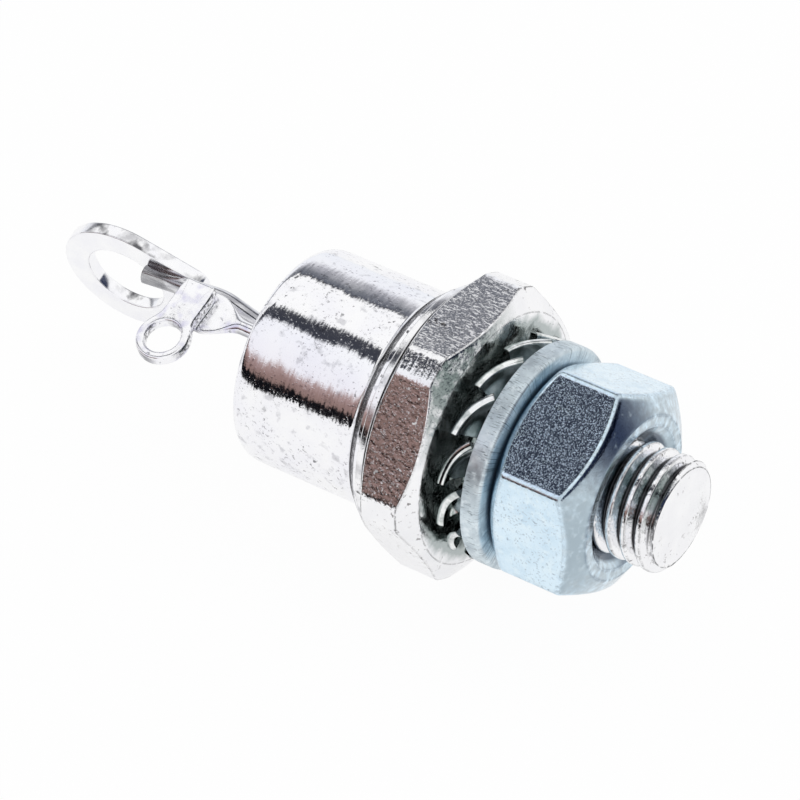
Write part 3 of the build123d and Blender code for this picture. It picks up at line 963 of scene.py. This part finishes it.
def build_stud_base():
    """The hex base with softened edges, and its stud with the real thread."""
    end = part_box("stud_base")[1].x / MM
    nut_start, nut_end = (corner.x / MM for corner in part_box("hex_nut"))

    def limit(x):
        """The stud's widest radius: less in the nut, except in its sinks, and on the end chamfer."""
        chamfer = STUD_END_R + (end - x) * STUD_END_SLOPE
        in_nut = CREST_R
        if nut_start < x < nut_end:
            depth = min(x - nut_start, nut_end - x)
            in_nut = max(CREST_IN_NUT_R, SINK_R - depth / SINK_SLOPE - CREST_CLEARANCE)
        return min(chamfer, in_nut, CREST_R)

    slope = math.tan(math.radians(HEX_CHAMFER_DEG))
    back_chamfer = (HEX_CORNER_R - BACK_FACE_R) * slope
    seat_chamfer = (HEX_CORNER_R - SEAT_FACE_R) * slope
    outline = rounded([
        (PEDESTAL_X, PEDESTAL_IN_R, 0), (PEDESTAL_X, PEDESTAL_R, BACK_EASE), (BACK_X, PEDESTAL_R, 0),
        (BACK_X, BACK_FACE_R, BACK_EASE), (BACK_X + back_chamfer, HEX_CORNER_R, HEX_RIM_EASE),
        (SEAT_X - seat_chamfer, HEX_CORNER_R, HEX_RIM_EASE), (SEAT_X, SEAT_FACE_R, SEAT_EASE),
        (SEAT_X, SEAT_IN_R, 0),
    ])
    outline = divided(outline, HEX_STRETCH, closed=False, beyond=HEX_FINE_R)
    shape = turned(outline, HEX_STEPS, hexagon(HEX_AF, 0, HEX_SOFT, HEX_SOFT), wrap=False)
    join(shape, thread_shape(SEAT_X, end, limit))
    new_piece("stud_base_plated", shape, "nickel", "stud_base")


def can_foot():
    """Corners of the fine ridges down the can's flared foot."""
    corners = []
    for ridge in range(RIDGE_COUNT):
        x, r = RIDGE_AT[0] + RIDGE_STEP[0] * ridge, RIDGE_AT[1] + RIDGE_STEP[1] * ridge
        corners += [(x, r, RIDGE_SOFT), (x + RIDGE_RISE[0], r + RIDGE_RISE[1], RIDGE_SOFT)]
    return corners


def build_can():
    """The drawn can: flange, ridged foot, wall, rounded rim and inner lip."""
    outline = rounded([
        (FLANGE_X, CAN_IN_R, 0), (FLANGE_X, FLANGE_R, FLANGE_EASE),
        (FLANGE_TOP_X, FLANGE_R, FLANGE_TOP_EASE), *can_foot(),
        (FOOT_X, CAN_R, FOOT_FILLET), (CAN_TOP_X, CAN_R, CAN_RIM_FILLET),
        (CAN_TOP_X, LIP_R, LIP_FILLET), (LIP_X, LIP_R, LIP_FILLET), (LIP_X, CAN_IN_R, 0),
    ], CAN_CUTS)
    new_piece("can_drawn", turned(divided(outline, CAN_STRETCH)), "can_nickel", "can_shell")


def build_weld_ring():
    """The turned ring between the base and the can's flange."""
    outline = rounded([
        (FLANGE_X, RING_IN_R, 0), (BACK_X, RING_IN_R, 0), (BACK_X, RING_FOOT_R, RING_FINE_EASE),
        (*RING_NECK, RING_NECK_EASE), (RING_RIM_X[0], RING_R, RING_RIM_EASE[0]),
        (RING_RIM_X[1], RING_R, RING_RIM_EASE[1]), (FLANGE_X, RING_FACE_R, RING_FINE_EASE),
    ])
    new_piece("weld_ring_turned", turned(outline), "ring_nickel", "weld_ring")


def build_flat_washer():
    """The flat washer, its outer edge well rounded on the nut's side."""
    low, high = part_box("flat_washer")
    near, far, out_r = low.x / MM, high.x / MM, high.y / MM
    outline = rounded([
        (near, WASHER_IN_R, WASHER_BORE_EASE), (far, WASHER_IN_R, WASHER_BORE_EASE),
        (far, out_r, WASHER_NUT_EASE), (near, out_r, WASHER_NEAR_EASE),
    ])
    new_piece("flat_washer_stamped", turned(outline), "zinc_washer", "flat_washer")


def build_nut():
    """The hex nut, chamfered and sunk on both faces, its far face a little smaller."""
    near, far = (corner.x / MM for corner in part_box("hex_nut"))
    sink = (SINK_R - NUT_BORE_R) * SINK_SLOPE
    drop = (NUT_CORNER_R - NUT_CHAMFER_R) * math.tan(math.radians(NUT_CHAMFER_DEG))
    outline = rounded([
        (near + sink, NUT_BORE_R, 0), (near, SINK_R, SINK_NEAR_EASE),
        (near, NUT_NEAR_FACE_R, NUT_NEAR_EASE), (near + drop, NUT_CORNER_R, 0),
        (far - drop - NUT_FAR_DROP, NUT_CORNER_R, 0), (far, NUT_FAR_FACE_R, NUT_FAR_EASE),
        (far, SINK_R, SINK_FAR_EASE), (far - sink, NUT_BORE_R, NUT_BORE_EASE),
    ])
    outline = divided(outline, NUT_STRETCH, beyond=NUT_FINE_R)
    clip = hexagon(NUT_AF, NUT_CORNER_DEG, NUT_CORNER_SOFT, NUT_ARRIS_SOFT)
    new_piece("hex_nut_forged", turned(outline, NUT_STEPS, clip), "zinc", "hex_nut")


def tooth_line():
    """Points along the end of a tooth, from its lip near the seat to its top: across, x."""
    half_w = TOOTH_END_W / 2
    lip = Vector((half_w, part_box("lock_washer")[0].x / MM + TOOTH_T / 2))
    bend = Vector((TOOTH_RISE / math.tan(math.radians(TOOTH_SLOPE_DEG)) - half_w, lip.y))
    top = Vector((-half_w, lip.y + TOOTH_RISE))
    return curve(lip, bend, top, TOOTH_STEPS)


def thickened(line, half):
    """A closed outline around a line, half a thickness to each side of it."""
    upper, lower = [], []
    for k, point in enumerate(line):
        ahead = line[min(k + 1, len(line) - 1)] - line[max(k - 1, 0)]
        aside = Vector((-ahead.y, ahead.x)).normalized() * half
        upper.append(point + aside)
        lower.append(point - aside)
    return upper + lower[::-1]


def tooth_sections(line, middle, out, cross):
    """A tooth's sections from its root, flat and narrow, to its end, bent, wide and rounded off."""
    root_r = LOCK_RING_R - TOOTH_ROOT_SINK
    sections = []
    for row in range(TOOTH_ROWS + 1):
        share = row / TOOTH_ROWS
        reach = root_r + (TOOTH_OUT_R - root_r) * share
        bent = smooth_step(min(1.0, share * TOOTH_BEND_LEAD))
        scale = (TOOTH_ROOT_W + (TOOTH_END_W - TOOTH_ROOT_W) * share) / TOOTH_END_W
        flat = [Vector((p.x * scale, middle + (p.y - middle) * bent)) for p in line]
        around = thickened(flat, TOOTH_T / 2)
        sections.append([cross * p.x + out * reach + Vector((p.y, 0, 0)) for p in around])
    end = sections.pop()
    for degrees in TOOTH_END_DEG:
        lean = math.radians(degrees)
        inward, outward = (1 - math.cos(lean)) / 2, (math.sin(lean) - 1) * TOOTH_END_BULGE
        sections.append([p.lerp(q, inward) + out * outward for p, q in zip(end, end[::-1])])
    return sections


def tooth_shape(line, middle, turn):
    """One tooth at an angle round the device axis, closed at both ends."""
    out = Vector((0, math.cos(turn), math.sin(turn)))
    cross = Vector((0, -math.sin(turn), math.cos(turn)))
    sections = tooth_sections(line, middle, out, cross)
    shape = skin(sections, wrap=False)
    for section in (sections[0], sections[-1]):
        verts = [shape.verts.new(p * MM) for p in section]
        n = len(verts)
        for k in range(n // 2 - 1):
            shape.faces.new((verts[k], verts[k + 1], verts[n - 2 - k], verts[n - 1 - k]))
    weld(shape)
    return shape


def build_lock_washer():
    """Fourteen teeth that grow out of the flat ring and bend more and more toward their ends."""
    line = tooth_line()
    middle = (line[0].y + line[-1].y) / 2
    near, far = middle - TOOTH_T / 2, middle + TOOTH_T / 2
    shape = turned(rounded([
        (near, LOCK_IN_R, LOCK_IN_EASE), (near, LOCK_RING_R, LOCK_OUT_EASE),
        (far, LOCK_RING_R, LOCK_OUT_EASE), (far, LOCK_IN_R, LOCK_IN_EASE),
    ]), LOCK_STEPS)
    for i in range(TOOTH_COUNT):
        turn = math.radians(TOOTH_PHASE_DEG) + i * 2 * math.pi / TOOTH_COUNT
        join(shape, tooth_shape(line, middle, turn))
    new_piece("lock_washer_teeth", shape, "tooth_steel", "lock_washer")


def lie(turn_deg, lean_deg=0.0):
    """Directions of a flat terminal turned round the device axis and leant to it: along, across, front."""
    turn, lean = math.radians(turn_deg), math.radians(lean_deg)
    across = Vector((0, math.cos(turn), math.sin(turn)))
    front = Vector((0, -math.sin(turn), math.cos(turn)))
    along = Vector((math.cos(lean), 0, 0)) - front * math.sin(lean)
    return along, across, along.cross(across)


def plate(outline, hole_r, thick, edge, centre, axes):
    """A flat plate with a round hole and eased edges; outline(angle) is its reach from the hole's centre."""
    along, across, front = axes
    angles = [2 * math.pi * k / ROUND_STEPS for k in range(ROUND_STEPS)]
    rim = [Vector((math.cos(a), math.sin(a))) * outline(a) for a in angles]
    arc = [math.radians(90 * k / EDGE_CUTS) for k in range(EDGE_CUTS + 1)]
    eased = [(edge * (1 - math.sin(a)), edge * (1 - math.cos(a))) for a in arc]
    section = [(False, inset, depth) for inset, depth in reversed(eased)]
    section += [(True, inset, depth) for inset, depth in eased]
    section += [(True, inset, thick - depth) for inset, depth in reversed(eased)]
    section += [(False, inset, thick - depth) for inset, depth in eased]
    rows = []
    for outer, inset, depth in section:
        row = []
        for k, angle in enumerate(angles):
            if outer:
                ahead = rim[(k + 1) % ROUND_STEPS] - rim[k - 1]
                flat = rim[k] - Vector((ahead.y, -ahead.x)).normalized() * inset
            else:
                flat = Vector((math.cos(angle), math.sin(angle))) * (hole_r + inset)
            row.append(centre + along * flat.x + across * flat.y - front * depth)
        rows.append(row)
    return skin(rows, wrap=True)


def build_cathode_lug():
    """An eyelet whose outline runs straight from its circle to the small one at the end of its tail."""
    circles = ((Vector((0, 0)), EYE_R), (TAIL_AT, TAIL_R))

    def outline(angle):
        best = math.inf
        for step in range(-HULL_DEG, HULL_DEG + 1):
            lean = angle + math.radians(step)
            toward = Vector((math.cos(lean), math.sin(lean)))
            reach = max(spot.dot(toward) + r for spot, r in circles)
            best = min(best, reach / math.cos(math.radians(step)))
        return best

    shape = plate(outline, EYE_HOLE_R, LUG_T, LUG_EASE, EYE_AT, lie(LUG_DEG, LUG_LEAN_DEG))
    new_piece("cathode_lug_stamped", shape, "tinned_copper", "cathode_lug")


def build_gate_lug():
    """An eyelet with a strap that runs from it over the gate lead's blade."""
    def outline(angle):
        ahead = math.sin(angle)
        if ahead < STRAP_FROM:
            return GATE_EYE_R
        side = STRAP_W / 2 / max(abs(math.cos(angle)), TINY)
        strap = smooth_min(side, (STRAP_BACK + GATE_EYE_OUT) / ahead, STRAP_CORNER)
        return -smooth_min(-GATE_EYE_R, -strap, GATE_NECK_SOFT)

    axes = lie(GATE_DEG)
    on_blade = GATE_AT + axes[0] * STRAP_X + axes[2] * (BLADE_T / 2 + STRAP_T)
    centre = on_blade - axes[1] * GATE_EYE_OUT
    shape = plate(outline, GATE_EYE_HOLE_R, STRAP_T, STRAP_EASE, centre, axes)
    new_piece("gate_lug_stamped", shape, "gate_plate", "gate_lug")


def build_gate_lead():
    """A round pin that is coined into a flat blade, its section easing from one to the other."""
    end, start = (corner.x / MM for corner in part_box("gate_lead"))
    along, wide, thin = lie(GATE_DEG)
    coin_l = COIN_FROM_X - COIN_TO_X
    places = [start, COIN_FROM_X + PIN_ROW]
    places += [COIN_FROM_X - coin_l * k / COIN_ROWS for k in range(COIN_ROWS + 1)]
    places += [COIN_TO_X - BLADE_ROW, end + TIP_L, end + TIP_ROW, end]
    rows = []
    for x in places:
        share = min(max((COIN_FROM_X - x) / coin_l, 0), 1)
        broad = smooth_step(share)
        flat = smooth_step(min(1, share * BLADE_FLAT_LEAD))
        tip = TIP_EASE * (1 - min(1, (x - end) / TIP_L))
        half_w = PIN_R + (BLADE_W / 2 - PIN_R) * broad - tip
        half_t = PIN_R + (BLADE_T / 2 - PIN_R) * flat - tip
        power = 1 - BLADE_SQUARE * flat
        row = []
        for step in range(PIN_STEPS):
            angle = 2 * math.pi * step / PIN_STEPS
            c, s = math.cos(angle), math.sin(angle)
            u = math.copysign(abs(c) ** power, c) * half_w
            v = math.copysign(abs(s) ** power, s) * half_t
            row.append(GATE_AT + along * x + wide * u + thin * v)
        rows.append(row)
    shape = skin(rows, wrap=False)
    cap(shape, start)
    cap(shape, end)
    new_piece("gate_lead_coined", shape, "gate_plate", "gate_lead")


def build_cathode_lead():
    """The CAD lead's own mesh with its points joined, so that it shades smooth."""
    shape = bmesh.new()
    shape.from_mesh(frame["nodes"]["cathode_lead"].data)
    weld(shape)
    new_piece("cathode_lead_smooth", shape, "tinned_copper", "cathode_lead", finish="shaded_lead_tin")


place_camera()
build_world()
build_floor()
build_light()
dress_frame()
build_stud_base()
build_can()
build_weld_ring()
build_lock_washer()
build_flat_washer()
build_nut()
build_cathode_lug()
build_gate_lug()
build_gate_lead()
build_cathode_lead()

bpy.context.scene.view_settings.view_transform = "Standard"
bpy.context.view_layer.update()
